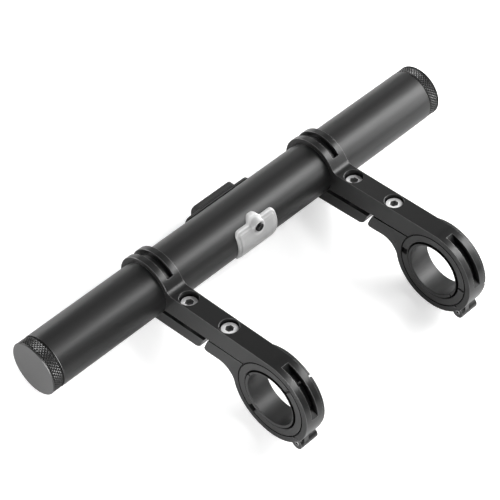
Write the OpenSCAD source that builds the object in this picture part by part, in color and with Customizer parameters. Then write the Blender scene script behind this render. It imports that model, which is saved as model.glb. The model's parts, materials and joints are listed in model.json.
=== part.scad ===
// Handlebar extender with a battery tube. Two hinged clamps grip the handlebar, and their arms
// carry a second, straight tube in front of it. The origin is on the handlebar's axis, midway
// between the clamps. X runs along the bar, the arms run along Y, and Z points up.

/* [Tube] */
// Outer diameter of the tube, which accessories made for a handlebar clamp to
tube_od = 22.2; // [22:0.1:25.4]
// Wall thickness of the tube
tube_wall = 1.5; // [1.2:0.05:1.6]
// Length of the tube without its end caps
tube_len = 200; // [192:1:230]
// How far the tube's front is turned up from level in the hoops
tube_turn = 14; // [0:1:30]

/* [End caps] */
// Length of a cap's knurled head
cap_len = 5.3; // [4:0.1:8]
// Length of the plain outer rim of a cap
cap_rim = 0.5; // [0.3:0.1:1]
// Length of the threaded spigot that enters the tube
thread_len = 7.5; // [6:0.5:10]
// Number of diamonds round a cap
knurl_count = 52; // [36:1:60]
// Depth of the knurl
knurl_depth = 0.35; // [0.2:0.05:0.5]
// Edge break on caps and tube ends
edge_break = 0.3; // [0.1:0.05:0.4]

/* [Brackets] */
// Distance between the middles of the two brackets
bracket_span = 90; // [70:1:110]
// Wall left beside the bolt heads, which sets a bracket's width along the bar
side_wall = 0.5; // [0.4:0.05:2]
// Wall of the hoop round the tube
hoop_wall = 2.2; // [1.8:0.1:3.5]
// Distance from the tube to the handlebar, along the arm
ring_reach = 63.6; // [60:0.2:80]
// Drop of the handlebar below the tube, square to the arm
ring_drop = 15.6; // [14.5:0.1:17]
// Wall of the clamp ring
ring_wall = 2.7; // [2.4:0.1:3.5]
// Height of the arm's upper face over the tube's axis
arm_top = 4.6; // [4.2:0.1:6]
// Depth of the arm's underside below the tube's axis
arm_under = 5.4; // [5:0.1:6]
// Radius of the hollow corner between hoop and arm
root_fillet = 4; // [2:0.5:6]
// Height of the slit that lets the hoop close on the tube
slit_h = 2.2; // [1.5:0.1:2.6]
// Width of the curved windows in hoop and ring
window_w = 3.2; // [2:0.1:4]
// Angle at which the hoop's window starts
hoop_window_from = 41; // [36:1:60]
// Angle at which the hoop's window ends
hoop_window_to = 200; // [150:1:215]
// Angle at which the ring's window starts
ring_window_from = 1; // [-5:1:20]
// Angle at which the ring's window ends
ring_window_to = 76; // [50:1:80]

/* [Jaws] */
// Gap between the arm's underside and the jaw's tab
jaw_gap = 0.8; // [0.5:0.1:1.2]
// How far the jaw's tab ends above the underside of the tube's tab
jaw_step = 0.7; // [0:0.1:1.2]
// Gap between the ends of the two tabs
tab_gap = 1.4; // [0.8:0.1:2.4]
// How far that gap lies beyond the middle between the two bolts
tab_gap_shift = 0.4; // [-1:0.1:1.5]
// Rounding at the lower end of the jaw's tab
jaw_round = 1.2; // [0.6:0.1:2]
// Hollow corner between the jaw's tab and its ring
jaw_fillet = 8; // [5:0.5:10]
// Angle of the hinge pin below the arm's direction, seen from the ring's middle
hinge_angle = 48; // [44:1:54]
// Distance of the hinge pin outside the ring
pin_out = 0.55; // [0.5:0.05:1.5]
// Diameter of the hinge pin
pin_d = 2; // [1.6:0.1:2.4]
// Radius of the hinge knuckles
knuckle_r = 2.5; // [2.2:0.1:2.7]
// Width of the jaw's front knuckle
front_knuckle = 1.7; // [1.4:0.1:2.4]
// Width of the slot for the arm's middle knuckle
mid_knuckle = 2.3; // [1.8:0.1:3]

/* [Bolts] */
// Diameter of both clamp bolts
bolt_d = 4; // [3.6:0.1:4.4]
// Diameter of a bolt's head
bolt_head_d = 7; // [6.4:0.1:7]
// Height of a bolt's head
bolt_head_h = 4; // [3:0.1:4]
// Width across the flats of the socket
bolt_key = 3; // [2.5:0.1:3.2]
// Length of the bolt that closes the hoop
tube_bolt_len = 12; // [10:1:13]
// Distance of that bolt from the hoop
tube_bolt_off = 6; // [5.2:0.1:7]
// How deep that bolt's head lies below the arm's upper face
tube_bolt_sink = 2.1; // [1:0.1:2.2]
// Length of the bolt that closes the jaw
bar_bolt_len = 10; // [8:1:11]
// Distance of that bolt from the ring's bore
bar_bolt_off = 7.5; // [6.5:0.1:9]
// How deep that bolt's head lies below the arm's upper face
bar_bolt_sink = 1.3; // [0.5:0.1:2]

/* [Shims] */
// Diameter of the handlebar that the clamps hold as delivered
bar_d = 22.2; // [22:0.1:22.6]
// Wall of the inner shim
inner_shim_t = 1.6; // [1.4:0.1:2]
// Wall of the outer shim
outer_shim_t = 3.2; // [2.8:0.1:4]
// Radius of the outer shim's rear flange over the ring's bore
shim_flange = 2.4; // [0.8:0.1:2.6]
// Thickness of that flange
shim_flange_w = 1.2; // [0.6:0.1:1.5]
// Width of the cut through each shim
shim_cut = 0.8; // [0.5:0.1:1.5]
// Width of the square notch that lets the outer shim fold open
shim_notch_w = 2.8; // [2:0.1:4]
// Thickness left at the bottom of that notch
shim_web = 0.6; // [0.4:0.1:1]

/* [Front cover and button] */
// Thickness of the clear cover
cover_t = 0.8; // [0.6:0.1:1.2]
// Width of the cover along the tube
cover_w = 20.9; // [18:0.1:26]
// Height of the cover, seen from the front
cover_h = 14.3; // [14:0.1:16]
// Height of the raised pad over the cover's rim
pad_t = 0.25; // [0.1:0.05:0.5]
// Width of the cover's rim round the pad
pad_rim = 1.3; // [0.8:0.1:2]
// Corner radius of the cover
cover_round = 2; // [1:0.1:3]
// Width of the pull tab
tab_w = 6.4; // [5:0.1:8]
// Height of the pull tab over the cover's edge
tab_up = 1.9; // [1.5:0.1:2.4]
// Diameter of the push button
button_d = 2.8; // [2.4:0.1:3]
// Height of the button over the tube's axis
button_up = 4.6; // [4.4:0.1:4.8]
// Place of the button along the tube
button_x = 0.2; // [-3:0.1:3]
// How far the button stands out of its collar
button_out = 0.8; // [0.6:0.1:2]
// Outer diameter of the collar round the button
collar_d = 5.6; // [4.6:0.1:6]
// Height of the collar over the cover
collar_h = 0.5; // [0.3:0.1:1]

/* [Socket and circuit board] */
// Outer width of the power socket
socket_w = 13.1; // [12.5:0.1:13.5]
// Outer height of the power socket
socket_h = 5.7; // [5.3:0.1:5.8]
// Sheet thickness of the socket's shell
socket_wall = 0.3; // [0.2:0.05:0.4]
// Depth of the socket's middle below the tube's axis
socket_down = 2.8; // [2.6:0.1:3]
// Depth of the socket's mouth below the tube's outside
socket_inset = 2.1; // [1.7:0.1:2.4]
// Distance from the board's back to the tube's bore
board_back = 3; // [2.6:0.1:3.4]
// Thickness of the circuit board
board_t = 1.6; // [1:0.1:1.6]

/* [Battery] */
// Length of the carrier that holds the circuit board between the cells
carrier_len = 40.2; // [36:0.1:60]
// Play round a battery cell in the tube
cell_play = 0.45; // [0.2:0.05:0.6]
// Length of a contact spring
spring_len = 7; // [5:0.5:8]
// Wire thickness of a contact spring
spring_wire = 0.7; // [0.5:0.1:1]

/* [Rear housing] */
// Length of the housing's base plate
base_len = 34; // [28:0.5:40]
// Height of the base plate
base_h = 9.2; // [9:0.1:12]
// Thickness of the base plate
base_t = 1; // [0.8:0.1:2]
// Length of the raised block
block_len = 22; // [18:0.5:26]
// Height of the raised block
block_h = 8.8; // [8.6:0.1:9]
// How far the raised block stands off the base plate
block_t = 2.9; // [2:0.1:4]
// Corner radius of base plate and block
block_round = 2.2; // [1:0.1:3]

/* [Hidden] */
$fn = 96;
left = -1;
right = 1;
// Clearance of a piece that turns or slides in another
run_clear = 0.06;
// Clearance of a piece that is pressed or clamped into another
seat_clear = 0.02;
// Clearance of inner pieces in the tube's bore
bore_clear = 0.1;
// Gap round knuckles and at their sides
knuckle_gap = 0.3;
side_gap = 0.15;
// Small chamfers at the ends of pins, bolts, button and cells
pin_edge = 0.2;
bolt_tip = 0.5;
head_edge = 0.4;
button_edge = 0.3;
cell_edge = 0.5;
spigot_edge = 0.5;
// How far a cut runs past the face it opens
past = 1;
// Overlap that makes tangent curves cross, so that they join cleanly
cross = 0.02;
far = 60;

tube_r = tube_od / 2;
bore_r = tube_r - tube_wall;
hoop_r = tube_r + hoop_wall;
shim_split_d = bar_d + 2 * inner_shim_t;
bar_bore = shim_split_d + 2 * outer_shim_t;
ring_r = bar_bore / 2 + ring_wall;
ring_mid = [ring_reach, -ring_drop];
// The arm is raised so far that both the hoops and the rings touch the same table
rest_tilt = atan2(ring_drop, ring_reach) + asin((ring_r - hoop_r) / norm(ring_mid));
tube_y = ring_reach * cos(rest_tilt) + ring_drop * sin(rest_tilt);
tube_z = ring_drop * cos(rest_tilt) - ring_reach * sin(rest_tilt);

pin_r = pin_d / 2;
pin_mid = ring_mid + (ring_r + pin_out) * [cos(hinge_angle), -sin(hinge_angle)];
pocket_clear = 0.3;
bolt_pocket_r = bolt_head_d / 2 + pocket_clear;
bracket_w = 2 * (bolt_pocket_r + side_wall);
tongue_to = bracket_w / 2 - front_knuckle;
tongue_from = tongue_to - mid_knuckle;
tube_bolt_at = hoop_r + tube_bolt_off;
bar_bolt_at = ring_reach - bar_bore / 2 - bar_bolt_off;
tab_top = arm_under + slit_h;
tab_round = 0.7 * (hoop_r - tab_top);
jaw_top = arm_under + jaw_gap;
jaw_under = hoop_r - jaw_step;
// Both tabs end on arcs about the hinge pin, so that they pass each other
gap_mid = [(tube_bolt_at + bar_bolt_at) / 2 + tab_gap_shift, -(jaw_top + jaw_under) / 2];
jaw_tab_reach = norm(gap_mid - pin_mid) - tab_gap / 2;
tab_end_r = jaw_tab_reach + tab_gap;

// The arm's upper face runs from over the tube's axis to the top of the ring, as a tangent
top_start = [0, arm_top];
top_away = ring_mid - top_start;
top_slope = atan2(top_away.y, top_away.x) + asin((ring_r - cross) / norm(top_away));
top_dir = [cos(top_slope), sin(top_slope)];
top_normal = [-sin(top_slope), cos(top_slope)];
function top_at(a) = arm_top + a * tan(top_slope);

bolt_r = bolt_d / 2;
bolt_room = 0.2;
bolt_hole_r = bolt_r + bolt_room;
tube_bolt_seat = top_at(tube_bolt_at) - tube_bolt_sink - bolt_head_h;
bar_bolt_seat = top_at(bar_bolt_at) - bar_bolt_sink - bolt_head_h;

cover_r = tube_r + run_clear + cover_t;
button_r = button_d / 2;
collar_face = sqrt(pow(cover_r, 2) - pow(button_up, 2)) + collar_h;
// The button's inner flange stays just inside the tube's bore
flange_r = button_r + 0.7;
flange_t = 1;
flange_face = sqrt(pow(bore_r, 2) - pow(button_up + flange_r, 2)) - bore_clear;
// The board stands behind socket and switch
socket_mouth = tube_r - socket_inset;
board_y = bore_r - board_back - board_t;
board_edge = 0.5;
board_h = 2 * (sqrt(pow(bore_r - bore_clear, 2) - pow(bore_r - board_back, 2)) - board_edge);
socket_len = socket_mouth + board_y;
socket_play = 0.25;
socket_end_wall = 2;
tongue_inset = 3.4;
tongue_t = 1.8;
tongue_side = 0.65;
plug_side = 0.35;
plug_deep = 2.5;
plug_w = socket_w - 2 * (socket_wall + plug_side);
plug_h = socket_h - 2 * (socket_wall + plug_side);
switch_size = 4;
switch_deep = 3.5;
cover_hole_play = 0.15;
pad_corner = 0.6;
tab_corner = 2.6;
// Cover and tab lie a little off the middle
cover_mid = [-0.7, 0.25];
cover_tab_x = -0.7;
// The knurled band stays just inside the cap's outline and laps its two rims
knurl_inset = 0.02;
knurl_lap = 0.05;
// The carrier's rails keep clear of board and button
rail_from = max(board_h / 2, button_up + flange_r) + 0.5;
button_travel = 0.5;
stem_r = 1.1;
stem_len = 5.5;
stem_end = board_y - switch_deep - stem_len;
button_end = stem_end - button_travel - bore_clear;

// Inner pieces along the tube: the cells fill what caps, springs and carrier leave
spring_face = tube_len / 2 - thread_len;
cell_face = spring_face - spring_len;
cell_nub_h = 1;
cell_nub_r = 2.8;
cell_d = 2 * (bore_r - cell_play);
contact_t = 0.4;
contact_r = 5;
carrier_half = carrier_len / 2;
cell_len = cell_face - carrier_half - contact_t - seat_clear;
carrier_disc = 2.5;
board_half = carrier_half - carrier_disc + 1;
carrier_r = bore_r - bore_clear;

// The housing's neck fills an opening in the tube's back, and its base lies on the tube
neck_len = block_len - 4;
neck_h = block_h - 2;
neck_round = 1;
neck_y = board_y + board_t + bore_clear;
housing_sink = 0.25;
housing_y = tube_r - housing_sink;

// Middle of a hollow corner of radius f between the line n*p = c and a circle
function corner_mid(n, c, mid, r, f, way) =
    let (up = c + f - n * mid)
    mid + up * n + way * sqrt(pow(r + f, 2) - up * up) * [n.y, -n.x];
function polar(mid, r, angle) = mid + r * [cos(angle), sin(angle)];

// Places a bracket drawn flat, with the arm along x and its front face at the top of z
module bracket_place(side)
    translate([side * bracket_span / 2, 0, 0])
        rotate([-rest_tilt, 0, 0])
            rotate([0, 0, -90])
                rotate([90, 0, 0])
                    translate([-ring_reach, ring_drop, 0])
                        children();

// Places what is drawn round the tube's own axis, with its front towards -Y
module tube_place()
    translate([0, tube_y, tube_z])
        rotate([-tube_turn, 0, 0])
            children();

module along_x(from)
    translate([from, 0, 0])
        rotate([0, 90, 0])
            children();

module along_y(x, y, z)
    translate([x, y, z])
        rotate([-90, 0, 0])
            children();

// Slab across the bracket's width, from one depth to another
module slab(from, to)
    translate([0, 0, from])
        linear_extrude(to - from)
            children();

module bracket_slab()
    slab(-bracket_w / 2, bracket_w / 2)
        children();

module disc(mid, r)
    translate(mid)
        circle(r);

module box2d(low, high)
    translate(low)
        square(high - low);

module rounded_rect(w, h, r) {
    square([w - 2 * r, h], center = true);
    square([w, h - 2 * r], center = true);
    for (x = [-1, 1], y = [-1, 1])
        disc([x * (w / 2 - r), y * (h / 2 - r)], r);
}

module sector(mid, from, to)
    polygon([mid, polar(mid, far, from), polar(mid, far, (from + to) / 2), polar(mid, far, to)]);

// Everything in the ring's disc that belongs to the arm
module ring_upper() {
    arm_end = -hinge_angle + 4;
    intersection() {
        disc(ring_mid, ring_r);
        polygon([ring_mid, polar(ring_mid, far, arm_end), ring_mid + [far, far],
            ring_mid + [-far, far], [ring_reach - far, -arm_under], [ring_reach, -arm_under]]);
    }
}

// The tab that pulls the hoop tight hangs below the arm, behind the slit
module tube_tab() {
    round_y = -hoop_r + cross + tab_round;
    round_x = pin_mid.x - sqrt(pow(tab_end_r + tab_round, 2) - pow(round_y - pin_mid.y, 2));
    difference() {
        union() {
            box2d([0, -hoop_r + cross], [round_x, -tab_top]);
            box2d([0, round_y], [round_x + tab_round + past, -tab_top]);
            disc([round_x, round_y], tab_round);
        }
        disc(pin_mid, tab_end_r);
    }
}

module arm_outline() {
    root = corner_mid(top_normal, top_normal * top_start, [0, 0], hoop_r, root_fillet, 1);
    root_foot = root - (root_fillet + past) * top_normal;
    top_end = ring_mid + (ring_r - cross) * top_normal;
    difference() {
        union() {
            circle(hoop_r);
            polygon([[0, -arm_under], top_start, top_end, ring_mid, [ring_reach, -arm_under]]);
            difference() {
                polygon([[0, 0], root, root_foot]);
                disc(root, root_fillet + cross);
            }
            ring_upper();
            tube_tab();
        }
        circle(tube_r + run_clear);
        disc(ring_mid, bar_bore / 2);
        box2d([0, -tab_top], [hoop_r * 3, -arm_under]);
    }
}

// The arm's middle knuckle and the web that carries it
module tongue_outline() {
    web_inset = 0.4;
    inner_r = bar_bore / 2 + web_inset;
    web_angle = -hinge_angle + 12;
    disc(pin_mid, knuckle_r);
    polygon([polar(ring_mid, inner_r, web_angle), polar(ring_mid, ring_r - past / 2, web_angle + 4),
        polar(pin_mid, knuckle_r, -hinge_angle + 70), pin_mid,
        polar(pin_mid, knuckle_r, -hinge_angle + 160)]);
}

module bolt_hole(at, seat) {
    along_y(at, -hoop_r - past, 0)
        cylinder(h = seat + hoop_r + 2 * past, r = bolt_hole_r);
    along_y(at, seat, 0)
        cylinder(h = far, r = bolt_pocket_r);
}

module arm(side)
    color([0.16, 0.16, 0.17])
        bracket_place(side)
            difference() {
                union() {
                    bracket_slab()
                        arm_outline();
                    slab(tongue_from + side_gap, tongue_to - side_gap)
                        tongue_outline();
                }
                // Room for the jaw's two knuckles
                slab(-bracket_w, tongue_from + side_gap)
                    disc(pin_mid, knuckle_r + knuckle_gap);
                slab(tongue_to - side_gap, bracket_w)
                    disc(pin_mid, knuckle_r + knuckle_gap);
                slab(-bracket_w, bracket_w)
                    disc(pin_mid, pin_r + run_clear);
                // Curved windows through the outer walls of hoop and ring
                slab(-window_w / 2, window_w / 2) {
                    difference() {
                        sector([0, 0], hoop_window_from, hoop_window_to);
                        circle(tube_r);
                    }
                    difference() {
                        sector(ring_mid, ring_window_from, ring_window_to);
                        disc(ring_mid, bar_bore / 2);
                    }
                }
                // The tab's thread is cut at the bolt's own size, the arm above it has room
                along_y(tube_bolt_at, -tab_top - far, 0)
                    cylinder(h = far + slit_h / 2, r = bolt_r + seat_clear);
                along_y(tube_bolt_at, -tab_top + slit_h / 2, 0)
                    cylinder(h = far, r = bolt_hole_r);
                along_y(tube_bolt_at, tube_bolt_seat, 0)
                    cylinder(h = far, r = bolt_pocket_r);
                bolt_hole(bar_bolt_at, bar_bolt_seat);
            }

module jaw_outline() {
    line = -jaw_under;
    fillet = corner_mid([0, -1], -line, ring_mid, ring_r, jaw_fillet, 1);
    round_y = line + jaw_round;
    round_x = pin_mid.x - sqrt(pow(jaw_tab_reach - jaw_round, 2) - pow(round_y - pin_mid.y, 2));
    difference() {
        union() {
            intersection() {
                union() {
                    box2d([round_x, line], [ring_reach, -jaw_top]);
                    box2d([round_x - jaw_round - past, round_y], [ring_reach, -jaw_top]);
                    disc([round_x, round_y], jaw_round);
                }
                disc(pin_mid, jaw_tab_reach);
            }
            difference() {
                polygon([[fillet.x, line + past], fillet, ring_mid]);
                disc(fillet, jaw_fillet + cross);
            }
            intersection() {
                disc(ring_mid, ring_r);
                polygon([ring_mid, [ring_reach, -jaw_top], [ring_reach - far, -jaw_top],
                    ring_mid + [-far, -far], polar(ring_mid, far, -hinge_angle)]);
            }
        }
        disc(ring_mid, bar_bore / 2);
    }
}

module jaw(side)
    color([0.15, 0.15, 0.16])
        bracket_place(side)
            difference() {
                union() {
                    bracket_slab()
                        jaw_outline();
                    slab(-bracket_w / 2, tongue_from)
                        disc(pin_mid, knuckle_r);
                    slab(tongue_to, bracket_w / 2)
                        disc(pin_mid, knuckle_r);
                }
                slab(tongue_from, tongue_to)
                    disc(pin_mid, knuckle_r + knuckle_gap);
                slab(-bracket_w, bracket_w)
                    disc(pin_mid, pin_r + seat_clear);
                along_y(bar_bolt_at, -jaw_under - past, 0)
                    cylinder(h = jaw_under - jaw_top + 2 * past, r = bolt_r + run_clear);
            }

module hinge_pin(side)
    color([0.75, 0.75, 0.76])
        bracket_place(side)
            translate([pin_mid.x, pin_mid.y, -bracket_w / 2])
                rotate_extrude()
                    polygon([[0, 0], [pin_r - pin_edge, 0], [pin_r, pin_edge],
                        [pin_r, bracket_w - pin_edge], [pin_r - pin_edge, bracket_w],
                        [0, bracket_w]]);

// Socket head bolt with its seat at zero, the head above it and the shank below
module bolt(len)
    difference() {
        rotate_extrude()
            polygon([[0, -len], [bolt_r - bolt_tip, -len], [bolt_r, -len + bolt_tip], [bolt_r, 0],
                [bolt_head_d / 2, 0], [bolt_head_d / 2, bolt_head_h - head_edge],
                [bolt_head_d / 2 - head_edge, bolt_head_h], [0, bolt_head_h]]);
        translate([0, 0, bolt_head_h / 2])
            cylinder(h = bolt_head_h, r = bolt_key / sqrt(3), $fn = 6);
    }

module tube_bolt(side)
    color([0.8, 0.8, 0.82])
        bracket_place(side)
            along_y(tube_bolt_at, tube_bolt_seat, 0)
                bolt(tube_bolt_len);

module bar_bolt(side)
    color([0.8, 0.8, 0.82])
        bracket_place(side)
            along_y(bar_bolt_at, bar_bolt_seat, 0)
                bolt(bar_bolt_len);

// Direction of the cut in a bracket's shims, and of the one in its inner shim
function shim_turn(side) = side == left ? 49 : -6;
function inner_turn(side) = side == left ? 150 : -40;

module outer_shim(side)
    color([0.22, 0.22, 0.22])
        bracket_place(side)
            translate([ring_mid.x, ring_mid.y, 0])
                rotate([0, 0, shim_turn(side)])
                    difference() {
                        union() {
                            translate([0, 0, -bracket_w / 2])
                                cylinder(h = bracket_w, r = bar_bore / 2 - seat_clear);
                            translate([0, 0, -bracket_w / 2 - shim_flange_w])
                                cylinder(h = shim_flange_w, r = bar_bore / 2 + shim_flange);
                        }
                        translate([0, 0, -bracket_w])
                            cylinder(h = 2 * bracket_w, r = shim_split_d / 2);
                        translate([0, -shim_cut / 2, -bracket_w])
                            cube([far, shim_cut, 2 * bracket_w]);
                        translate([-far - shim_split_d / 2 - shim_web, -shim_notch_w / 2, -bracket_w])
                            cube([far, shim_notch_w, 2 * bracket_w]);
                    }

module inner_shim(side)
    color([0.2, 0.2, 0.2])
        bracket_place(side)
            translate([ring_mid.x, ring_mid.y, -bracket_w / 2 - shim_flange_w])
                rotate([0, 0, inner_turn(side)])
                    difference() {
                        cylinder(h = bracket_w + shim_flange_w, r = shim_split_d / 2 - seat_clear);
                        translate([0, 0, -past])
                            cylinder(h = far, r = bar_d / 2);
                        translate([0, -shim_cut / 2, -past])
                            cube([far, shim_cut, far]);
                    }

module tube()
    color([0.18, 0.18, 0.19])
        tube_place()
            difference() {
                along_x(-tube_len / 2)
                    rotate_extrude()
                        polygon([[bore_r, 0], [tube_r - edge_break / 2, 0], [tube_r, edge_break / 2],
                            [tube_r, tube_len - edge_break / 2],
                            [tube_r - edge_break / 2, tube_len], [bore_r, tube_len]]);
                // Front openings for the socket and the button
                along_y(0, -tube_r - past, -socket_down)
                    linear_extrude(tube_r + past)
                        rounded_rect(socket_w + 2 * socket_play, socket_h + 2 * socket_play,
                            2 * socket_play);
                along_y(button_x, -tube_r - past, button_up)
                    cylinder(h = tube_r + past, r = button_r + run_clear);
                // Rear opening for the housing's plug
                along_y(0, 0, 0)
                    linear_extrude(tube_r + past)
                        rounded_rect(neck_len, neck_h, neck_round);
            }

// Diamond knurl: points on a grid lie high and low in turn, and each high one is a pyramid
module knurled_band(len) {
    rows = 2 * max(1, round(len * knurl_count / (PI * tube_od)));
    cols = 2 * knurl_count;
    high = tube_r - knurl_inset;
    grid = [for (j = [0:rows], i = [0:cols - 1])
        let (r = (i + j) % 2 == 0 && j > 0 && j < rows ? high : high - knurl_depth)
        [r * cos(i * 360 / cols), r * sin(i * 360 / cols), j * len / rows]];
    function at(i, j) = j * cols + i % cols;
    walls = [for (j = [0:rows - 1], i = [0:cols - 1])
        each (i + j) % 2 == 0
            ? [[at(i, j), at(i, j + 1), at(i + 1, j)], [at(i + 1, j), at(i, j + 1), at(i + 1, j + 1)]]
            : [[at(i, j), at(i, j + 1), at(i + 1, j + 1)], [at(i, j), at(i + 1, j + 1), at(i + 1, j)]]];
    ends = [[for (i = [0:cols - 1]) at(i, 0)], [for (i = [cols - 1:-1:0]) at(i, rows)]];
    polyhedron(grid, concat(walls, ends), convexity = 4);
}

// Cap drawn outwards from the tube's end face at zero
module cap(side)
    color([0.14, 0.14, 0.15])
        tube_place()
            mirror([side == left ? 1 : 0, 0, 0])
                along_x(tube_len / 2) {
                    rotate_extrude()
                        polygon([[0, -thread_len], [bore_r - run_clear - spigot_edge, -thread_len],
                            [bore_r - run_clear, spigot_edge - thread_len], [bore_r - run_clear, 0],
                            [tube_r - edge_break - knurl_depth, 0],
                            [tube_r - edge_break / 2 - knurl_depth / 2, cap_rim / 2],
                            [tube_r - knurl_depth / 2, cap_rim], [bore_r, cap_rim],
                            [bore_r, cap_len - cap_rim], [tube_r, cap_len - cap_rim],
                            [tube_r, cap_len - edge_break], [tube_r - edge_break, cap_len],
                            [0, cap_len]]);
                    translate([0, 0, cap_rim - knurl_lap])
                        knurled_band(cap_len - 2 * (cap_rim - knurl_lap));
                }

// Tapered contact spring swept along a helix as one tube
module contact_spring(side) {
    turns = 4;
    per_turn = 14;
    sides = 6;
    steps = turns * per_turn;
    wide = bore_r * 0.6;
    narrow = bore_r * 0.3;
    rise = spring_len - spring_wire - bore_clear;
    rings = [for (k = [0:steps], s = [0:sides - 1])
        let (t = k / steps, r = wide + (narrow - wide) * t, turn = 360 * turns * t,
            w = spring_wire / 2)
        [(r + w * cos(360 * s / sides)) * cos(turn), (r + w * cos(360 * s / sides)) * sin(turn),
            spring_wire / 2 + rise * t + w * sin(360 * s / sides)]];
    walls = [for (k = [0:steps - 1], s = [0:sides - 1])
        let (n = (s + 1) % sides)
        [k * sides + s, k * sides + n, (k + 1) * sides + n, (k + 1) * sides + s]];
    ends = [[for (s = [sides - 1:-1:0]) s], [for (s = [0:sides - 1]) steps * sides + s]];
    color([0.7, 0.7, 0.68])
        tube_place()
            mirror([side == left ? 1 : 0, 0, 0])
                along_x(spring_face)
                    mirror([0, 0, 1])
                        polyhedron(rings, concat(walls, ends), convexity = 6);
}

module cell(side)
    color([0.2, 0.4, 0.65])
        tube_place()
            mirror([side == left ? 1 : 0, 0, 0])
                along_x(cell_face - cell_len)
                    rotate_extrude()
                        polygon([[0, 0], [cell_nub_r, 0], [cell_nub_r, cell_nub_h],
                            [cell_d / 2 - cell_edge, cell_nub_h],
                            [cell_d / 2, cell_nub_h + cell_edge],
                            [cell_d / 2, cell_len - cell_edge],
                            [cell_d / 2 - cell_edge, cell_len], [0, cell_len]]);

module contact(side)
    color([0.8, 0.65, 0.3])
        tube_place()
            mirror([side == left ? 1 : 0, 0, 0])
                along_x(carrier_half)
                    cylinder(h = contact_t, r = contact_r);

// Moulded carrier: two discs in the bore, joined above and below the board by rails
module board_carrier()
    color([0.25, 0.25, 0.25])
        tube_place()
            difference() {
                along_x(-carrier_half)
                    cylinder(h = 2 * carrier_half, r = carrier_r);
                translate([-(carrier_half - carrier_disc), -far / 2, -rail_from])
                    cube([2 * (carrier_half - carrier_disc), far, 2 * rail_from]);
                translate([-board_half - bore_clear, board_y - bore_clear, -board_h / 2 - bore_clear])
                    cube([2 * (board_half + bore_clear), board_t + 2 * bore_clear,
                        board_h + 2 * bore_clear]);
            }

module circuit_board()
    color([0.1, 0.4, 0.2])
        tube_place()
            translate([-board_half, board_y, -board_h / 2])
                cube([2 * board_half, board_t, board_h]);

module usb_socket()
    color([0.75, 0.75, 0.75])
        tube_place()
            translate([0, -socket_mouth, -socket_down])
                difference() {
                    translate([-socket_w / 2, 0, -socket_h / 2])
                        cube([socket_w, socket_len, socket_h]);
                    translate([-socket_w / 2 + socket_wall, -past, -socket_h / 2 + socket_wall])
                        cube([socket_w - 2 * socket_wall, socket_len + past - socket_end_wall,
                            socket_h - 2 * socket_wall]);
                }

module socket_tongue()
    color([0.9, 0.9, 0.88])
        tube_place()
            translate([0, tongue_inset - socket_mouth, 0.2 - socket_down]) {
                wide = socket_w - 2 * (socket_wall + tongue_side);
                translate([-wide / 2, 0, 0])
                    cube([wide, socket_len - socket_end_wall - tongue_inset, tongue_t]);
            }

module tact_switch()
    color([0.3, 0.3, 0.3])
        tube_place()
            translate([button_x, board_y - switch_deep, button_up]) {
                translate([-switch_size / 2, 0, -switch_size / 2])
                    cube([switch_size, switch_deep, switch_size]);
                along_y(0, -stem_len, 0)
                    cylinder(h = stem_len, r = stem_r);
            }

module push_button()
    color([0.08, 0.08, 0.08])
        tube_place()
            along_y(button_x, -collar_face - button_out, button_up) {
                end = collar_face + button_out;
                rotate_extrude()
                    polygon([[0, 0], [button_r - button_edge, 0], [button_r, button_edge],
                        [button_r, end - flange_face], [flange_r, end - flange_face],
                        [flange_r, end - flange_face + flange_t],
                        [button_r, end - flange_face + flange_t], [button_r, end + button_end],
                        [0, end + button_end]]);
            }

module cover_face() {
    translate(cover_mid)
        rounded_rect(cover_w, cover_h, cover_round);
    translate([cover_tab_x, cover_mid.y + cover_h / 2 + tab_up / 2 - tab_w / 4])
        rounded_rect(tab_w, tab_up + tab_w / 2, min(tab_w / 2 - 0.1, tab_corner));
}

// Skin of the given radius over the tube, in the outline drawn on its front
module cover_skin(r)
    intersection() {
        along_x(-cover_w)
            cylinder(h = 2 * cover_w, r = r);
        along_y(0, -cover_r - past, 0)
            linear_extrude(cover_r + past)
                mirror([0, 1])
                    children();
    }

module port_cover()
    color([0.85, 0.87, 0.88, 0.6])
        tube_place()
            difference() {
                union() {
                    difference() {
                        union() {
                            cover_skin(cover_r)
                                cover_face();
                            cover_skin(cover_r + pad_t)
                                translate(cover_mid)
                                    rounded_rect(cover_w - 2 * pad_rim, cover_h - 2 * pad_rim,
                                        cover_round * pad_corner);
                        }
                        along_x(-far)
                            cylinder(h = 2 * far, r = tube_r + run_clear);
                    }
                    difference() {
                        along_y(button_x, -collar_face, button_up)
                            cylinder(h = collar_face, r = collar_d / 2);
                        along_x(-far)
                            cylinder(h = 2 * far, r = tube_r + run_clear);
                    }
                    // Plug that fills the socket's mouth
                    translate([-plug_w / 2, -tube_r, -socket_down - plug_h / 2])
                        cube([plug_w, socket_inset + plug_deep, plug_h]);
                }
                along_y(button_x, -far, button_up)
                    cylinder(h = far, r = button_r + cover_hole_play);
            }

module rear_housing()
    color([0.12, 0.12, 0.12])
        tube_place() {
            difference() {
                along_y(0, housing_y, 0) {
                    linear_extrude(base_t)
                        rounded_rect(base_len, base_h, block_round);
                    linear_extrude(base_t + block_t)
                        rounded_rect(block_len, block_h, block_round);
                }
                along_x(-far)
                    cylinder(h = 2 * far, r = tube_r + run_clear);
            }
            along_y(0, neck_y, 0)
                linear_extrude(housing_y + base_t - neck_y)
                    rounded_rect(neck_len - 2 * run_clear, neck_h - 2 * run_clear,
                        neck_round - run_clear);
        }

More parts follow.
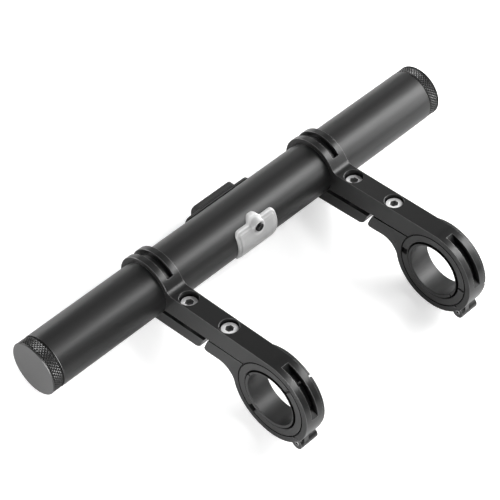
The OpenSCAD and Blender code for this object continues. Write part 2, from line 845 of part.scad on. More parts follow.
tube();
cap(left);  // left_cap
cap(right);  // right_cap
contact_spring(left);  // left_cap_spring
contact_spring(right);  // right_cap_spring
arm(left);  // left_arm
arm(right);  // right_arm
jaw(left);  // left_jaw
jaw(right);  // right_jaw
hinge_pin(left);  // left_hinge_pin
hinge_pin(right);  // right_hinge_pin
tube_bolt(left);  // left_tube_bolt
tube_bolt(right);  // right_tube_bolt
bar_bolt(left);  // left_bar_bolt
bar_bolt(right);  // right_bar_bolt
outer_shim(left);  // left_outer_shim
outer_shim(right);  // right_outer_shim
inner_shim(left);  // left_inner_shim
inner_shim(right);  // right_inner_shim
port_cover();
push_button();
rear_housing();
board_carrier();
circuit_board();
usb_socket();
socket_tongue();
tact_switch();
contact(left);  // left_contact
contact(right);  // right_contact
cell(left);  // left_cell
cell(right);  // right_cell
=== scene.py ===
"""Looks of the handlebar extender: the photograph's camera, soft studio light and the finishes."""
import json
import math

import bmesh
import bpy
from mathutils import Matrix, Vector
from mathutils.geometry import delaunay_2d_cdt

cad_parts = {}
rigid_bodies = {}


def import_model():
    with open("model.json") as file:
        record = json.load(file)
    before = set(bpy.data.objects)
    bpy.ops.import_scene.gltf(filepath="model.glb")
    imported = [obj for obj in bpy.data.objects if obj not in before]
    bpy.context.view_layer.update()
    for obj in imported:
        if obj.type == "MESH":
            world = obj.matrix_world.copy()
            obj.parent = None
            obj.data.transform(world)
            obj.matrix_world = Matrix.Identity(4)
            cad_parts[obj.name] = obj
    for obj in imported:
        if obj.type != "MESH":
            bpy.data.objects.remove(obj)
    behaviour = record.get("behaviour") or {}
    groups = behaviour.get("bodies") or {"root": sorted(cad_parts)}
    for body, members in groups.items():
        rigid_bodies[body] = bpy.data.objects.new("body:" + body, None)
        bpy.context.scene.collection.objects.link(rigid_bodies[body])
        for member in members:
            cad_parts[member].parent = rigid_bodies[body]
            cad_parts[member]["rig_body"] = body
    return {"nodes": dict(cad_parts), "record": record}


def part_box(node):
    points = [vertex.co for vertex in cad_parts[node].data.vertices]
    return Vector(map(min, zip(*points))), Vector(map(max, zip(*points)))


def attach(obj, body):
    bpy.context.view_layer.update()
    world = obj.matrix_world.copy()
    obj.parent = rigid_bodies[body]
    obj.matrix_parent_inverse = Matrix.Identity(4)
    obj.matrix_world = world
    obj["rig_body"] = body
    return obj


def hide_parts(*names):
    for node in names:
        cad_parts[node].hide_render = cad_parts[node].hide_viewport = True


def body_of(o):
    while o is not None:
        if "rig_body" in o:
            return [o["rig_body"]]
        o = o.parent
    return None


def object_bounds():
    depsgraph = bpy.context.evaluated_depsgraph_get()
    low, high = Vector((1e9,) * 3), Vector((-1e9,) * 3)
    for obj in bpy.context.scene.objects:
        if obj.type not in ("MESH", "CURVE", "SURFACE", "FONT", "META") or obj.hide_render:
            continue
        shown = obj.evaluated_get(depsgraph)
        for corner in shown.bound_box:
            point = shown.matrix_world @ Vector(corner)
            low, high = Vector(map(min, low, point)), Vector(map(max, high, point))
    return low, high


MM = 0.001

# The photograph's camera, worked out from the tube: lengths in tube radii from the tube's middle
FOCAL_PX = 2132.0
FRAME_PX = 500
TUBE_R = 11.1 * MM
CAM_AZIMUTH = math.radians(-45.7035)
CAM_ELEVATION = math.radians(46.0857)
CAM_OFFSET = (-0.4174, 1.0164)
CAM_DISTANCE = 73.9048
# The part lies with its rings and hoops on the floor, which turns it by this much about X
PHOTO_TILT = math.radians(-14.42)

# Soft boxes: name, direction in the photograph's frame, distance and size in metres, watts, and
# where they aim if that isn't the origin
LIGHTS = [
    ("key", (0.5, -0.46, 0.74), 0.9, (0.5, 0.16), 3.0),
    ("right", (0.95, 0, 0.3), 0.7, (0.4, 0.3), 5.8),
    ("right_front", (0.92, -0.4, 0.25), 0.7, (0.4, 0.3), 1.8),
    ("right_low", (0.85, -0.5, 0.1), 0.7, (0.4, 0.2), 1.3),
    ("right_high", (0.8, -0.35, 0.5), 0.8, (0.4, 0.3), 2.7),
    ("back", (-0.2, 0.95, 0.25), 0.8, (0.7, 0.25), 7.3),
    ("left", (-0.95, -0.3, 0.12), 0.3, (0.2, 0.12), 1.3, (-0.05, 0.02, 0)),
    ("right_back", (0.55, 0.68, 0.5), 0.8, (0.3, 0.3), 0.25),
    ("top", (0, 0, 1), 1.0, (0.8, 0.8), 1.0),
]
WORLD_LIGHT, WORLD_SEEN = 0.05, 1.0
FLOOR_SIZE, FLOOR_WHITE, FLOOR_GLOW = 8, 0.85, 0.5

# Finish of each material slot, and of the faces that get one of their own; on cap ends, bevels and
# sockets these are painted light, painted highlight and painted shade
FINISHES = {
    "black_anodised": dict(grey=0.012, rough=0.38, grain=0.15),
    "knurled_black": dict(grey=0.012, rough=0.38, grain=0.1),
    "bead_blasted_black": dict(grey=0.01, rough=0.3, grain=0.3),
    "shim_plastic": dict(grey=0.02, rough=0.4, grain=0.3),
    "inner_shim_plastic": dict(grey=0.02, rough=0.4, grain=0.3),
    # Bolt steel drawn near white and barely metallic: its brightness is a painted reflection of bright
    # surroundings
    "bolt_steel": dict(grey=0.9, rough=0.2, metallic=0.1),
    "pin_steel": dict(grey=0.3, rough=0.35, metallic=1.0),
    "spring_steel": dict(grey=0.6, rough=0.3, metallic=1.0),
    "socket_steel": dict(grey=0.6, rough=0.3, metallic=1.0),
    "black_plastic": dict(grey=0.004, rough=0.3, shine=0.2),
    "housing_plastic": dict(grey=0.02, rough=0.5, grain=0.3),
    "carrier_plastic": dict(grey=0.05, rough=0.5),
    "white_plastic": dict(grey=0.7, rough=0.3),
    "board_green": dict(colour=(0.02, 0.14, 0.06), rough=0.4, coat=0.5),
    "contact_brass": dict(colour=(0.75, 0.55, 0.25), rough=0.3, metallic=1.0),
    "cell_wrap": dict(colour=(0.03, 0.12, 0.35), rough=0.25),
    # Darker grey inside the bolts' sockets: painted shade
    "socket_shade": dict(grey=0.35, rough=0.35, metallic=0.5),
    # Paler grey on the caps' flat ends: painted light
    "cap_end_painted_light": dict(grey=0.055, rough=0.4, grain=0.1),
    # Paler grey on the bevels of arms and jaws: painted highlight along their edges
    "edge_highlight": dict(grey=0.09, rough=0.3, metallic=0.2),
}
GRAIN_SIZE, GRAIN_DEPTH = 0.3 * MM, 0.02 * MM
# The silicone's grey where it is clear and where it is pale, and its uneven clouds; the pale grey also
# carries the painted light at rim and collar
CLEAR_GREY, PALE_LIT_GREY = 0.38, 0.56
CLOUD_SIZE, CLOUDS = 2.2 * MM, 0.5

# Brackets in the row frame: the rings' axis is y = 0, z = 0, and lengths are in mm
SIDES = {"left": -1, "right": 1}
BRACKET_X = 45
RING_BORE = 15.9
# The arms rise by this angle from the rings to the hoops
ARM_TILT = math.radians(18.42)
# Shade in the gaps: middle in y and z, radius, and half the width
ARM_GAP = ((0, 0), RING_BORE + 0.05, 0.2)
ARM_EDGE_GAP = ((0, 0), RING_BORE + 0.08, 0.22)
OUTER_SHIM_GAP = ((0, 0), RING_BORE - 0.1, 0.15)
INNER_SHIM_GAP = ((0.2, -0.56), 13.0, 0.9)
# Radius of the black disc painted on each hinge pin's end as the shade of a dimple
PIN_DIMPLE_SHADE_R = 0.5
# A ring's window, from the bore to the rim, and its ends: angle in degrees, way into the window
# and how far the cutter's run-out reaches
WINDOW_LOW, WINDOW_HIGH, WINDOW_HALF = 15.92, 18.55, 1.6
WINDOW_ENDS = ((19.42, 1, 11), (94.42, -1, 13))
WINDOW_STEPS, WINDOW_BEND = 6, 1.3

# A bolt's head: what counts as its top, the ring of its rim, and its socket
HEAD_BAND, HEAD_RIM_R = 0.2 * MM, 2.5 * MM
SOCKET_R, SOCKET_TOP, SOCKET_DEPTH = 1.75 * MM, 0.1 * MM, 2.5 * MM
CAP_END_BAND = 0.05 * MM
# Faces count as end faces where their normals lie this far along X, for the caps and for gaps
CAP_END_FACING, GAP_FACING = 0.9, 0.3

# Width of the small edge breaks in mm, on the pieces whose solids have sharp edges
EDGES = {
    "arm": 0.15, "jaw": 0.15, "outer_shim": 0.3, "inner_shim": 0.25,
    "tube_bolt": 0.12, "bar_bolt": 0.12, "hinge_pin": 0.12,
}
# These pieces' bevels get the paler material: a painted highlight along their edges
HIGHLIGHT_EDGES = ("arm", "jaw")
HOUSING_EDGE = 0.25
WELD_GAP, FLAT_ANGLE, EDGE_ANGLE = 0.0005 * MM, math.radians(0.5), math.radians(35)
SMOOTH_ANGLE = math.radians(40)

# The cover in mm, seen from the front: x along the tube, u up from its axis
COVER = {"mid": (-0.7, 0.25), "size": (20.9, 14.3), "round": 2.0}
TAB = {"mid": (-0.7, 6.75), "size": (6.4, 5.1), "round": 2.55}
TAB_HOLLOW = 1.0
# A point in the cover that sees its whole outline, and a distance that lies outside
COVER_EYE, COVER_REACH = (-0.7, 1.0), 16.0
SEAT_R, PLUG_R = 11.16, 10.86
# The cover's thickness, at its outline and over the round of its rim; the pad, its rim and step
SKIN, RIM_SKIN, RIM_ROUND = 0.8, 0.25, 0.5
PAD, PAD_RIM, PAD_STEP = 0.25, 1.3, 0.25
COLLAR_R, COLLAR_TOP, COLLAR_FOOT, COLLAR_STEP = 2.95, 11.45, 0.15, 0.35
BUTTON = (-0.15, 5.15)
BUTTON_R, BUTTON_TOP, BUTTON_GAP = 1.8, 12.45, 0.1
TURNED_STEPS = 64
# Rows of points that carry the cover's shape: how far they lie outside the outlines of cover and
# pad, and outside the edges of button and collar
OUTLINE_ROWS, PAD_ROWS = (-0.12, -0.3, -0.55), (0.12, -0.02, -0.16)
BUTTON_ROWS, COLLAR_ROWS = (0.12, 0.25), (-0.25, -0.1, 0.02, 0.2)
RIM_POINTS, OUTLINE_POINTS, PAD_POINTS, CIRCLE_POINTS = 420, 300, 260, 72
# The grid between the rows, its counts in x and u, and how far it keeps from rim and collar
GRID, GRID_X, GRID_U, GRID_FROM_RIM, GRID_FROM_COLLAR = 0.33, range(-34, 34), range(-24, 30), 0.7, 0.3
# Pale places of the silicone: share, and the width over which it fades in
# The rim's and the collar's paleness is painted light: light carried out to the rim, and a highlight
# round the collar
PALE_AND_LIT = {
    "rim": (1.0, 0.7), "collar": (0.7, 1.2), "tab": (0.15, 1.5), "groove": (0.25, 0.6), "low": (0.9, 6.0),
}
# They begin this far outside the collar, up the tab and off its middle, and below the axis; the
# groove lies this far inside the pad
COLLAR_LIT, TAB_PALE_U, TAB_PALE_X, LOW_PALE, GROOVE = 0.9, 6.2, 4.4, 1.0, 0.9
PLUG_MILK = 0.5
# Openings for cover and button face this much upward
TUBE_TURN = math.radians(14)


def photo_to_part(v):
    """Direction in the photograph's frame to the part's frame."""
    return Matrix.Rotation(PHOTO_TILT, 3, "X") @ Vector(v)


def add_camera(tube_mid):
    sa, ca = math.sin(CAM_AZIMUTH), math.cos(CAM_AZIMUTH)
    se, ce = math.sin(CAM_ELEVATION), math.cos(CAM_ELEVATION)
    back = photo_to_part((sa * ce, -ca * ce, se))
    right = photo_to_part((ca, sa, 0))
    up = back.cross(right)
    place = back * CAM_DISTANCE - right * CAM_OFFSET[0] - up * CAM_OFFSET[1]
    data = bpy.data.cameras.new("camera")
    data.sensor_width = 36
    data.lens = FOCAL_PX / FRAME_PX * data.sensor_width
    data.clip_start = 0.05
    data.clip_end = 20
    cam = bpy.data.objects.new("camera", data)
    turn = Matrix((right, up, back)).transposed().to_4x4()
    cam.matrix_world = Matrix.Translation(tube_mid + place * TUBE_R) @ turn
    bpy.context.scene.collection.objects.link(cam)
    bpy.context.scene.camera = cam


def add_light(name, toward, distance, size, watts, aim=(0, 0, 0)):
    """Soft box that shines at the aim from a direction given in the photograph's frame."""
    data = bpy.data.lights.new(name, "AREA")
    data.shape = "RECTANGLE"
    data.size, data.size_y = size
    data.energy = watts
    light = bpy.data.objects.new(name, data)
    way = photo_to_part(toward).normalized()
    light.location = Vector(aim) + way * distance
    light.rotation_mode = "QUATERNION"
    light.rotation_quaternion = way.to_track_quat("Z", "Y")
    bpy.context.scene.collection.objects.link(light)


def new_node(tree, kind, operation=None):
    node = tree.nodes.new(kind)
    if operation:
        node.operation = operation
    return node


def add_world():
    """Faint light from all round; the camera sees it white."""
    world = bpy.data.worlds.new("studio")
    bpy.context.scene.world = world
    world.use_nodes = True
    tree = world.node_tree
    tree.nodes.clear()
    path = new_node(tree, "ShaderNodeLightPath")
    mix = new_node(tree, "ShaderNodeMixShader")
    out = new_node(tree, "ShaderNodeOutputWorld")
    for socket, strength in ((1, WORLD_LIGHT), (2, WORLD_SEEN)):
        glow = new_node(tree, "ShaderNodeBackground")
        glow.inputs["Color"].default_value = (1, 1, 1, 1)
        glow.inputs["Strength"].default_value = strength
        tree.links.new(glow.outputs[0], mix.inputs[socket])
    tree.links.new(path.outputs["Is Camera Ray"], mix.inputs[0])
    tree.links.new(mix.outputs[0], out.inputs[0])


def add_floor(level):
    """Pale floor that keeps the shadows; for the camera it also glows up to white."""
    bpy.ops.mesh.primitive_plane_add(size=FLOOR_SIZE, location=(0, 0, level))
    floor = bpy.context.object
    floor.name = "floor"
    mat = bpy.data.materials.new("floor")
    mat.use_nodes = True
    tree = mat.node_tree
    tree.nodes.clear()
    path = new_node(tree, "ShaderNodeLightPath")
    pale = new_node(tree, "ShaderNodeBsdfDiffuse")
    pale.inputs["Color"].default_value = (FLOOR_WHITE, FLOOR_WHITE, FLOOR_WHITE, 1)
    shine = new_node(tree, "ShaderNodeEmission")
    shine.inputs["Strength"].default_value = FLOOR_GLOW
    both = new_node(tree, "ShaderNodeAddShader")
    mix = new_node(tree, "ShaderNodeMixShader")
    out = new_node(tree, "ShaderNodeOutputMaterial")
    tree.links.new(pale.outputs[0], both.inputs[0])
    tree.links.new(shine.outputs[0], both.inputs[1])
    tree.links.new(path.outputs["Is Camera Ray"], mix.inputs[0])
    tree.links.new(pale.outputs[0], mix.inputs[1])
    tree.links.new(both.outputs[0], mix.inputs[2])
    tree.links.new(mix.outputs[0], out.inputs[0])
    floor.data.materials.append(mat)


def finish_of(name, rough, grey=0.5, colour=None, metallic=0.0, grain=0.0, coat=0.0, shine=0.5):
    """Principled material, grey or coloured, with an optional fine grain in its surface."""
    mat = bpy.data.materials.new(name)
    mat.use_nodes = True
    tree = mat.node_tree
    base = tree.nodes["Principled BSDF"]
    rgb = colour or (grey, grey, grey)
    base.inputs["Base Color"].default_value = (*rgb, 1)
    base.inputs["Roughness"].default_value = rough
    base.inputs["Metallic"].default_value = metallic
    base.inputs["Coat Weight"].default_value = coat
    base.inputs["Specular IOR Level"].default_value = shine
    mat.diffuse_color = (*rgb, 1)
    if grain:
        place = new_node(tree, "ShaderNodeTexCoord")
        noise = new_node(tree, "ShaderNodeTexNoise")
        noise.inputs["Scale"].default_value = 1 / GRAIN_SIZE
        noise.inputs["Detail"].default_value = 2
        bump = new_node(tree, "ShaderNodeBump")
        bump.inputs["Strength"].default_value = grain
        bump.inputs["Distance"].default_value = GRAIN_DEPTH
        tree.links.new(place.outputs["Object"], noise.inputs["Vector"])
        tree.links.new(noise.outputs["Fac"], bump.inputs["Height"])
        tree.links.new(bump.outputs["Normal"], base.inputs["Normal"])
    return mat


def silicone(name):
    """Clear silicone on black: grey where it is thin; paler at its rims and on the collar, which is
    painted light, and paler low down.
    """
    mat = finish_of(name, rough=0.28)
    tree = mat.node_tree
    base = tree.nodes["Principled BSDF"]
    base.inputs["Subsurface Weight"].default_value = 0.3
    base.inputs["Subsurface Radius"].default_value = (1, 1, 1)
    base.inputs["Subsurface Scale"].default_value = 0.6 * MM
    pale_lit_share = new_node(tree, "ShaderNodeAttribute")
    pale_lit_share.attribute_name = "pale_lit_share"
    ramp = new_node(tree, "ShaderNodeValToRGB")
    for element, grey in zip(ramp.color_ramp.elements, (CLEAR_GREY, PALE_LIT_GREY)):
        element.color = (grey, grey, grey, 1)
    place = new_node(tree, "ShaderNodeTexCoord")
    clouds = new_node(tree, "ShaderNodeTexNoise")
    clouds.inputs["Scale"].default_value = 1 / CLOUD_SIZE
    clouds.inputs["Detail"].default_value = 3
    uneven = new_node(tree, "ShaderNodeMath", "MULTIPLY_ADD")
    uneven.inputs[1].default_value = CLOUDS
    both = new_node(tree, "ShaderNodeMath", "SUBTRACT")
    both.inputs[1].default_value = CLOUDS / 2
    tree.links.new(place.outputs["Object"], clouds.inputs["Vector"])
    tree.links.new(clouds.outputs["Fac"], uneven.inputs[0])
    tree.links.new(pale_lit_share.outputs["Fac"], uneven.inputs[2])
    tree.links.new(uneven.outputs[0], both.inputs[0])
    tree.links.new(both.outputs[0], ramp.inputs[0])
    tree.links.new(ramp.outputs[0], base.inputs["Base Color"])
    return mat


def shade_gap(mat, mid, radius, half):
    """Black ring on a material's left end faces, in mm about an axis along X.

    It stands for the shade in the gap between two pieces. Its middle is given in y and z.
    """
    tree = mat.node_tree
    place = new_node(tree, "ShaderNodeTexCoord")
    middle = new_node(tree, "ShaderNodeVectorMath", "SUBTRACT")
    middle.inputs[1].default_value = (0, mid[0] * MM, mid[1] * MM)
    flat = new_node(tree, "ShaderNodeVectorMath", "MULTIPLY")
    flat.inputs[1].default_value = (0, 1, 1)
    length = new_node(tree, "ShaderNodeVectorMath", "LENGTH")
    band = new_node(tree, "ShaderNodeMath", "COMPARE")
    band.inputs[1].default_value = radius * MM
    band.inputs[2].default_value = half * MM
    shape = new_node(tree, "ShaderNodeNewGeometry")
    facing = new_node(tree, "ShaderNodeVectorMath", "DOT_PRODUCT")
    facing.inputs[1].default_value = (-1, 0, 0)
    end = new_node(tree, "ShaderNodeMath", "GREATER_THAN")
    end.inputs[1].default_value = GAP_FACING
    both = new_node(tree, "ShaderNodeMath", "MULTIPLY")
    black = new_node(tree, "ShaderNodeBsdfDiffuse")
    black.inputs["Color"].default_value = (0.001, 0.001, 0.001, 1)
    mix = new_node(tree, "ShaderNodeMixShader")
    out = next(n for n in tree.nodes if n.type == "OUTPUT_MATERIAL")
    before = out.inputs[0].links[0].from_socket
    tree.links.new(place.outputs["Object"], middle.inputs[0])
    tree.links.new(middle.outputs["Vector"], flat.inputs[0])
    tree.links.new(flat.outputs["Vector"], length.inputs[0])
    tree.links.new(length.outputs["Value"], band.inputs[0])
    tree.links.new(shape.outputs["Normal"], facing.inputs[0])
    tree.links.new(facing.outputs["Value"], end.inputs[0])
    tree.links.new(band.outputs[0], both.inputs[0])
    tree.links.new(end.outputs[0], both.inputs[1])
    tree.links.new(both.outputs[0], mix.inputs[0])
    tree.links.new(before, mix.inputs[1])
    tree.links.new(black.outputs[0], mix.inputs[2])
    tree.links.new(mix.outputs[0], out.inputs[0])


def dress_nodes(frame, materials):
    slots = {s["node"]: s["material_slot"] for s in frame["record"]["subparts"]}
    for name, obj in frame["nodes"].items():
        obj.data.materials.clear()
        obj.data.materials.append(materials[slots[name]])


def dress_rings(frame, materials):
    """Shade in the gaps round the shims; the inner shims get their own finish for theirs."""
    shade_gap(materials["bead_blasted_black"], *ARM_GAP)
    shade_gap(materials["edge_highlight"], *ARM_EDGE_GAP)
    shade_gap(materials["shim_plastic"], *OUTER_SHIM_GAP)
    shade_gap(materials["inner_shim_plastic"], *INNER_SHIM_GAP)
    for side in SIDES:
        frame["nodes"][side + "_inner_shim"].data.materials[0] = materials["inner_shim_plastic"]


def dress_pins(frame):
    """Painted shade of a dimple: a black disc in the middle of each hinge pin's end."""
    for side in SIDES:
        name = side + "_hinge_pin"
        low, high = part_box(name)
        mid = (low + high) / 2 / MM
        steel = finish_of(name + "_steel", **FINISHES["pin_steel"])
        shade_gap(steel, (mid.y, mid.z), 0.0, PIN_DIMPLE_SHADE_R)
        frame["nodes"][name].data.materials[0] = steel


def shade_sockets(frame, dark):
    """Second, darker material on the faces inside each bolt's socket, near its axis at its head: painted
    shade in the socket.
    """
    lean = Vector((0, math.sin(ARM_TILT), math.cos(ARM_TILT)))
    for name in [n for n in frame["nodes"] if n.endswith("_bolt")]:
        mesh = frame["nodes"][name].data
        along = [v.co.dot(lean) for v in mesh.vertices]
        head = max(along)
        rim = [v.co for v, a in zip(mesh.vertices, along) if a > head - HEAD_BAND]
        mid = sum(rim, Vector()) / len(rim)
        wide = [c for c in rim if (c - mid).length > HEAD_RIM_R]
        mid = (Vector(map(min, *wide)) + Vector(map(max, *wide))) / 2
        mesh.materials.append(dark)
        for face in mesh.polygons:
            away = face.center - mid
            height = away.dot(lean)
            if (away - lean * height).length < SOCKET_R and -SOCKET_DEPTH < height < -SOCKET_TOP:
                face.material_index = 1


def face_ends(frame, material):
    """Second material on each cap's flat end, which is turned; its paler grey is painted light on that
    face.
    """
    for side in SIDES:
        mesh = frame["nodes"][side + "_cap"].data
        end = max(abs(v.co.x) for v in mesh.vertices)
        mesh.materials.append(material)
        for face in mesh.polygons:
            if abs(face.normal.x) > CAP_END_FACING and abs(face.center.x) > end - CAP_END_BAND:
                face.material_index = 1


def soften(obj, width, highlight=None):
    """Small edge break on a node whose solid has sharp edges; a material, if given, goes on the bevel as
    a painted highlight along the edges.
    """
    weld = obj.modifiers.new("weld", "WELD")
    weld.merge_threshold = WELD_GAP
    flat = obj.modifiers.new("flat", "DECIMATE")
    flat.decimate_type = "DISSOLVE"
    flat.angle_limit = FLAT_ANGLE
    bevel = obj.modifiers.new("bevel", "BEVEL")
    bevel.width = width * MM
    bevel.segments = 2
    bevel.limit_method = "ANGLE"
    bevel.angle_limit = EDGE_ANGLE
    bevel.use_clamp_overlap = False
    if highlight:
        obj.data.materials.append(highlight)
        bevel.material = len(obj.data.materials) - 1
    flatten = obj.modifiers.new("flatten", "WEIGHTED_NORMAL")
    flatten.weight = 100
    flatten.keep_sharp = False


def soften_edges(frame, highlight):
    for side in SIDES:
        for piece, width in EDGES.items():
            soften(frame["nodes"][side + "_" + piece], width, highlight if piece in HIGHLIGHT_EDGES else None)
    soften(frame["nodes"]["rear_housing"], HOUSING_EDGE)


def add_piece(name, bm, material):
    mesh = bpy.data.meshes.new(name)
    bm.to_mesh(mesh)
    bm.free()
    obj = bpy.data.objects.new(name, mesh)
    obj.data.materials.append(material)
    bpy.context.scene.collection.objects.link(obj)
    mesh.shade_smooth()
    mesh.set_sharp_from_angle(angle=SMOOTH_ANGLE)
    return obj


def ease(t):
    t = min(max(t, 0.0), 1.0)
    return t * t * (3 - 2 * t)


def inside(x, u, box, inset=0.0):
    """Distance from a rounded rectangle's outline, negative inside it."""
    r = max(box["round"] - inset, 0.3)
    qx = abs(x - box["mid"][0]) - box["size"][0] / 2 + inset + r
    qu = abs(u - box["mid"][1]) - box["size"][1] / 2 + inset + r
    return math.hypot(max(qx, 0), max(qu, 0)) + min(max(qx, qu), 0) - r


def outline(x, u):
    """Cover and tab in one outline, with a small hollow where they meet."""
    a, b = inside(x, u, COVER), inside(x, u, TAB)
    near = max(TAB_HOLLOW - abs(a - b), 0) / TAB_HOLLOW
    return min(a, b) - near * near * TAB_HOLLOW / 4


def pad_outline(x, u):
    return inside(x, u, COVER, PAD_RIM)


def from_button(x, u):
    return math.hypot(x - BUTTON[0], u - BUTTON[1])


def contour(shape, level, count):
    """Points round a shape where its distance has the given level."""
    points = []
    for i in range(count):
        turn = 2 * math.pi * i / count
        near, away = 0.0, COVER_REACH
        for _ in range(30):
            half = (near + away) / 2
            x, u = COVER_EYE[0] + half * math.cos(turn), COVER_EYE[1] + half * math.sin(turn)
            near, away = (half, away) if shape(x, u) < level else (near, half)
        points.append((x, u))
    return points


def circle(mid, r, count):
    turns = [2 * math.pi * i / count for i in range(count)]
    return [(mid[0] + r * math.cos(a), mid[1] + r * math.sin(a)) for a in turns]


def cover_points(rim):
    """The rim, rows of points along each step of the cover's face, and a grid between them."""
    points = list(rim)
    for level in OUTLINE_ROWS:
        points += contour(outline, level, OUTLINE_POINTS)
    for level in PAD_ROWS:
        points += contour(pad_outline, level, PAD_POINTS)
    for away in BUTTON_ROWS:
        points += circle(BUTTON, BUTTON_R + away, CIRCLE_POINTS)
    for away in COLLAR_ROWS:
        points += circle(BUTTON, COLLAR_R + away, CIRCLE_POINTS)
    for i in GRID_X:
        for j in GRID_U:
            x, u = i * GRID, j * GRID
            if outline(x, u) < -GRID_FROM_RIM and from_button(x, u) > COLLAR_R + GRID_FROM_COLLAR:
                points.append((x, u))
    return points


def cover_top(x, u):
    """How far the cover's face lies in front of the tube's axis, in mm."""
    t = min(max(-outline(x, u) / RIM_ROUND, 0), 1)
    skin = RIM_SKIN + (SKIN - RIM_SKIN) * math.sqrt(1 - (1 - t) ** 2)
    pad = PAD * ease(-pad_outline(x, u) / PAD_STEP + 0.5)
    out = math.sqrt((SEAT_R + skin + pad) ** 2 - u * u)
    collar = ease((COLLAR_R + COLLAR_FOOT - from_button(x, u)) / COLLAR_STEP)
    return max(out, out + (COLLAR_TOP - out) * collar)


def pale_and_lit_at(place, depth):
    """Share of paleness at a depth in mm inside one of the pale places."""
    share, fade = PALE_AND_LIT[place]
    return share * ease(depth / fade)


def cover_pale_and_lit(x, u):
    """How pale the silicone is drawn, from 0 to 1: painted light at the rim and round the collar, and
    paler on the tab, along the groove and towards the bottom.
    """
    rim = pale_and_lit_at("rim", PALE_AND_LIT["rim"][1] + outline(x, u))
    collar = pale_and_lit_at("collar", COLLAR_R + COLLAR_LIT - from_button(x, u))
    across = ease((TAB_PALE_X - abs(x - TAB["mid"][0])) / PALE_AND_LIT["tab"][1])
    tab = pale_and_lit_at("tab", u - TAB_PALE_U) * across
    groove = pale_and_lit_at("groove", PALE_AND_LIT["groove"][1] - abs(pad_outline(x, u) + GROOVE))
    low = pale_and_lit_at("low", -u - LOW_PALE)
    return min(max(rim, collar, tab, groove) + low, 1)


def from_front(x, u, out, mid):
    """Place in the row frame of a point given in mm from the front of the tube."""
    sa, ca = math.sin(TUBE_TURN), math.cos(TUBE_TURN)
    return Vector((x * MM, mid.y + (u * sa - out * ca) * MM, mid.z + (u * ca + out * sa) * MM))


def keep_plug(bm, layer, old, mid):
    """The plug behind the cover, which is the CAD's own."""
    for face in old.data.polygons:
        spot = face.center - mid
        if math.hypot(spot.y, spot.z) < PLUG_R * MM:
            ring = [bm.verts.new(old.data.vertices[i].co) for i in face.vertices]
            for v in ring:
                v[layer] = (PLUG_MILK, PLUG_MILK, PLUG_MILK, 1)
            bm.faces.new(ring)


def add_cover(frame, mid, material):
    """Silicone cover with a rounded rim, a raised pad, the pull tab and the collar round the button."""
    rim = contour(outline, 0.0, RIM_POINTS)
    points = [Vector(p) for p in cover_points(rim)]
    flat, _, faces, *_ = delaunay_2d_cdt(points, [], [list(range(len(rim)))], 1, 1e-4)
    bm = bmesh.new()
    layer = bm.verts.layers.float_color.new("pale_lit_share")
    top, low = [], []
    for x, u in flat:
        # Paleness of each point, painted light where it lies at the rim and round the collar
        pale_lit = cover_pale_and_lit(x, u)
        for row, out in ((top, cover_top(x, u)), (low, math.sqrt(SEAT_R ** 2 - u * u))):
            vert = bm.verts.new(from_front(x, u, out, mid))
            vert[layer] = (pale_lit, pale_lit, pale_lit, 1)
            row.append(vert)
    for face in faces:
        x, u = (sum(flat[i][k] for i in face) / len(face) for k in (0, 1))
        if from_button(x, u) > BUTTON_R + BUTTON_GAP:
            bm.faces.new([top[i] for i in face])
            bm.faces.new([low[i] for i in reversed(face)])
    index = {v: i for i, v in enumerate(top)}
    for edge in [e for e in bm.edges if len(e.link_faces) == 1 and e.verts[0] in index]:
        loop = edge.link_loops[0]
        a, b = index[loop.vert], index[loop.link_loop_next.vert]
        bm.faces.new([top[b], top[a], low[a], low[b]])
    old = frame["nodes"]["port_cover"]
    keep_plug(bm, layer, old, mid)
    for v in [v for v in bm.verts if not v.link_faces]:
        bm.verts.remove(v)
    bmesh.ops.remove_doubles(bm, verts=bm.verts, dist=0.001 * MM)
    bmesh.ops.recalc_face_normals(bm, faces=bm.faces)
    cover = add_piece("cover_skin", bm, material)
    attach(cover, body_of(old)[0])
    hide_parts("port_cover")


def turned(profile, place, axis):
    """Turned mesh from (radius, height) pairs in mm round an axis."""
    bm = bmesh.new()
    across = axis.orthogonal().normalized()
    side = axis.cross(across)
    rows = []
    for r, h in profile:
        if r == 0:
            rows.append([bm.verts.new(place + axis * (h * MM))] * TURNED_STEPS)
            continue
        turns = [2 * math.pi * i / TURNED_STEPS for i in range(TURNED_STEPS)]
        spokes = [across * math.cos(a) + side * math.sin(a) for a in turns]
        rows.append([bm.verts.new(place + (axis * h + spoke * r) * MM) for spoke in spokes])
    for lower, upper in zip(rows, rows[1:]):
        for i in range(TURNED_STEPS):
            j = (i + 1) % TURNED_STEPS
            corners = [lower[i], lower[j], upper[j], upper[i]]
            corners = [v for n, v in enumerate(corners) if v not in corners[:n]]
            if len(corners) > 2:
                bm.faces.new(corners)
    bmesh.ops.recalc_face_normals(bm, faces=bm.faces)
    return bm


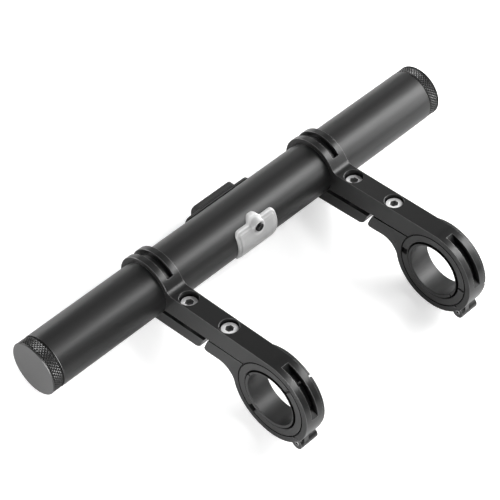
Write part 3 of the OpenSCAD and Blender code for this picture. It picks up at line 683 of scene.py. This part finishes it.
def add_button(frame, mid, material):
    """The button, with a rounded edge and a shallow hollow, and a flange inside the tube."""
    axis = (from_front(0, 0, 1, mid) - mid).normalized()
    place = from_front(BUTTON[0], BUTTON[1], 0, mid)
    r, end = BUTTON_R, BUTTON_TOP
    stem, flange = 1.3, r + 0.4
    profile = [
        (0, 4.7), (stem, 4.7), (stem, 5.2), (flange, 5.2), (flange, 6.0), (r, 6.0),
        (r, end - 0.45), (r - 0.08, end - 0.2), (r - 0.22, end - 0.06), (r - 0.45, end),
        (r - 0.7, end - 0.03), (0.6, end - 0.15), (0, end - 0.18),
    ]
    button = add_piece("button_head", turned(profile, place, axis), material)
    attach(button, body_of(frame["nodes"]["push_button"])[0])
    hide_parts("push_button")


def around_ring(x, r, angle):
    """Place from x and the radius in mm and the angle in degrees round the rings' axis."""
    turn = math.radians(angle)
    return Vector((x * MM, -r * math.cos(turn) * MM, r * math.sin(turn) * MM))


def add_window_ends(side, material):
    """The cutter's run-out at both ends of a ring's window, where its floor rises to the rim."""
    bracket = side + "_bracket"
    for n, (start, way, sweep) in enumerate(WINDOW_ENDS):
        corners = [(WINDOW_LOW, start), (WINDOW_HIGH, start)]
        for i in range(1, WINDOW_STEPS + 1):
            out = WINDOW_LOW + (WINDOW_HIGH - WINDOW_LOW) * (1 - i / WINDOW_STEPS) ** WINDOW_BEND
            corners.append((out, start + way * sweep * i / WINDOW_STEPS))
        bm = bmesh.new()
        ends = []
        for across in (-WINDOW_HALF, WINDOW_HALF):
            x = SIDES[side] * BRACKET_X + across
            ends.append([bm.verts.new(around_ring(x, r, angle)) for r, angle in corners])
        bm.faces.new(ends[0])
        bm.faces.new(ends[1])
        for i in range(len(corners)):
            j = (i + 1) % len(corners)
            bm.faces.new([ends[0][i], ends[0][j], ends[1][j], ends[1][i]])
        bmesh.ops.recalc_face_normals(bm, faces=bm.faces)
        piece = add_piece("%s_window_end_%d" % (bracket, n), bm, material)
        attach(piece, bracket)


bpy.context.scene.view_settings.view_transform = "Standard"
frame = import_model()
cad_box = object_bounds()
materials = {name: finish_of(name, **look) for name, look in FINISHES.items()}
materials["clear_silicone"] = silicone("clear_silicone")
dress_nodes(frame, materials)
dress_rings(frame, materials)
dress_pins(frame)
shade_sockets(frame, materials["socket_shade"])
face_ends(frame, materials["cap_end_painted_light"])
soften_edges(frame, materials["edge_highlight"])
low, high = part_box("tube")
tube_mid = (low + high) / 2
add_camera(tube_mid)
add_cover(frame, tube_mid, materials["clear_silicone"])
add_button(frame, tube_mid, materials["black_plastic"])
for side in SIDES:
    add_window_ends(side, materials["bead_blasted_black"])
add_world()
add_floor(cad_box[0].z)
for light in LIGHTS:
    add_light(*light)
